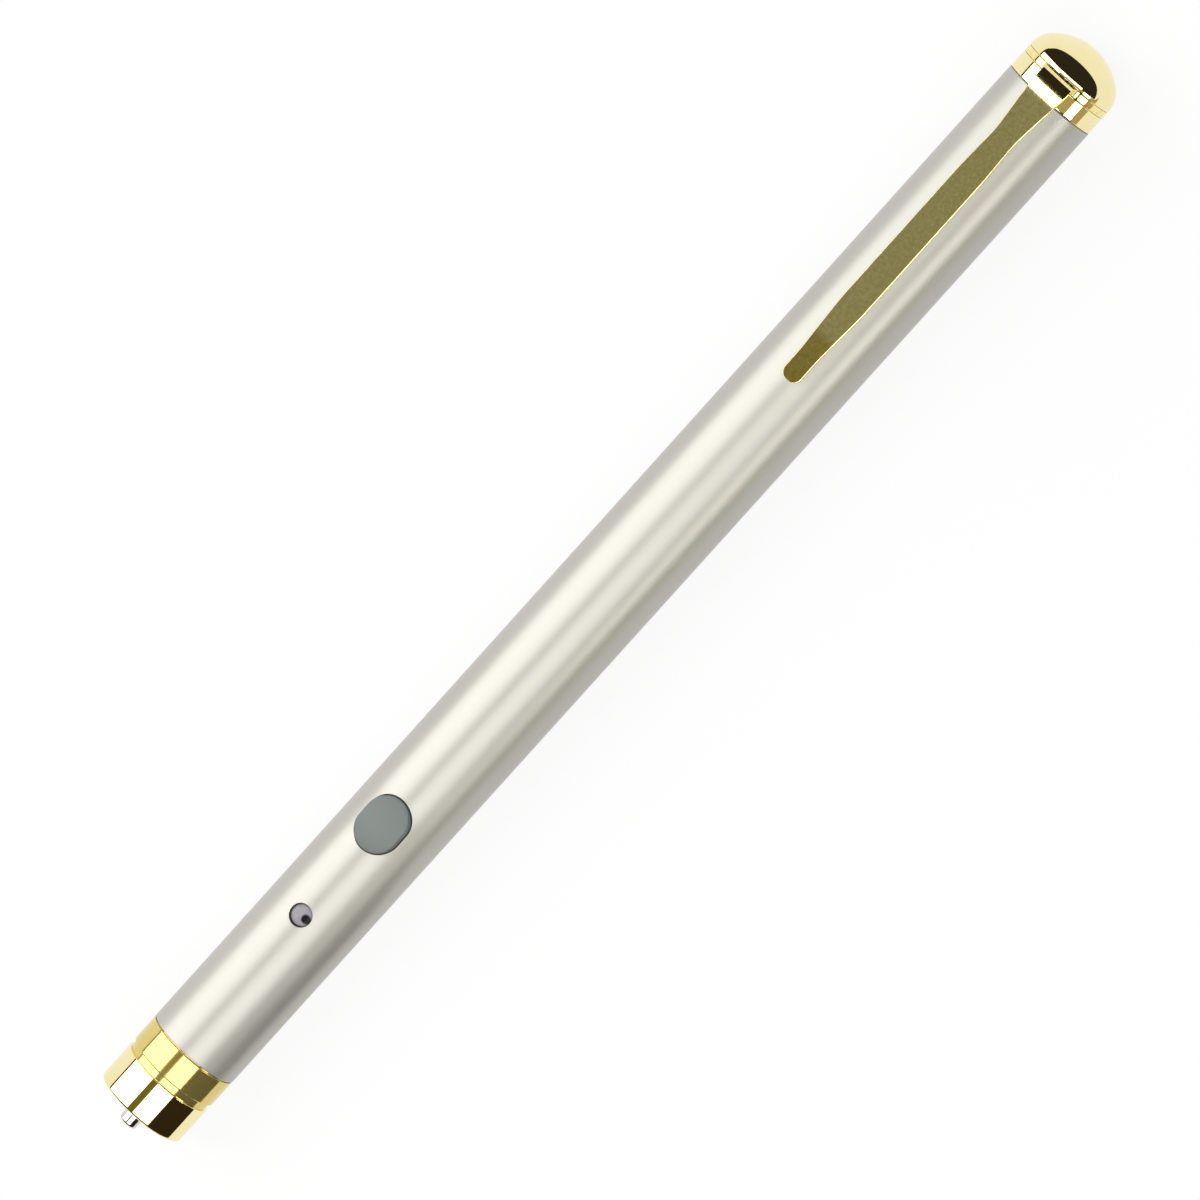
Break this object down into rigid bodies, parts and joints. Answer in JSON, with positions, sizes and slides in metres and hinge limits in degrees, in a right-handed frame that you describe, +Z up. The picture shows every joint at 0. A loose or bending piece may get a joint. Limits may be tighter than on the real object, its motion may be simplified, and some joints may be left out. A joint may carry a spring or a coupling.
{
  "type": "visual fault locator",
  "caption": "Pen-shaped fibre tester: satin barrel with button and lamp, gold front end with a 2.5 mm ferrule, screw-off tail cap with pocket clip.",
  "frame": {"origin": "centre of the pen's length, on the surface that it lies on, under its axis", "axes": "+X along the pen from the ferrule to the tail, +Z up out of the power button, +Y to the side"},
  "size_m": [0.1788, 0.0126, 0.0149],
  "materials": {
    "pearl_barrel": "satin pearl-silver metallic coat",
    "gold_plate": "polished gold-coloured plating",
    "grey_button": "matte grey",
    "lamp_resin": "glossy smoked resin",
    "plain_brass": "turned, unplated",
    "lens_glass": "clear optical glass",
    "spring_steel": "drawn wire",
    "plated_can": "gold-flashed sealed can",
    "black_plastic": "moulded black",
    "board_laminate": "green solder mask",
    "chip_resin": "matte black resin",
    "chip_ceramic": "glazed ceramic",
    "capacitor_resin": "moulded amber resin",
    "cell_jacket": "plain dark jacket over a steel can",
    "seal_rubber": "matte black rubber"
  },
  "bodies": {
    "barrel_body": {"barrel": "pearl_barrel", "front_nut": "gold_plate", "front_collar": "gold_plate", "ferrule": "gold_plate", "fibre_stub": "lens_glass", "status_led": "lamp_resin", "module_housing": "plain_brass", "lens_holder": "plain_brass", "focus_lens": "lens_glass", "focus_spring": "spring_steel", "laser_diode": "plated_can", "board_carrier": "black_plastic", "circuit_board": "board_laminate", "driver_chip": "chip_resin", "chip_resistor_1": "chip_ceramic", "chip_resistor_2": "chip_ceramic", "chip_resistor_3": "chip_ceramic", "chip_capacitor": "capacitor_resin", "ground_leaf": "plain_brass", "switch_body": "black_plastic", "positive_contact": "plain_brass", "battery_front": "cell_jacket", "battery_rear": "cell_jacket"},
    "button": {"power_button": "grey_button", "switch_stem": "black_plastic"},
    "spring_carriage": {"spring_seat": "plain_brass", "battery_spring": "spring_steel"},
    "tail_cap": {"tail_plug": "gold_plate", "tail_seal": "seal_rubber", "seat_retainer": "plain_brass", "clip": "gold_plate", "tail_dome": "gold_plate"}
  },
  "joints": [
    {"name": "button_press", "type": "slide", "parent": "barrel_body", "child": "button", "axis": [0, 0, -1], "range_m": [0, 0.00035], "stiffness_N_per_m": 1500, "springref_m": -0.0004},
    {"name": "tail_cap_travel", "type": "slide", "parent": "barrel_body", "child": "spring_carriage", "axis": [1, 0, 0], "range_m": [0, 0.00375]},
    {"name": "tail_cap_turn", "type": "hinge", "parent": "spring_carriage", "child": "tail_cap", "pos_m": [0.08118, 0, 0.0063], "axis": [1, 0, 0], "range_deg": [0, 1801]}
  ],
  "couplings": [
    {"joint": "tail_cap_turn", "follows": "tail_cap_travel", "rad_per_m": 8377.6}
  ]
}
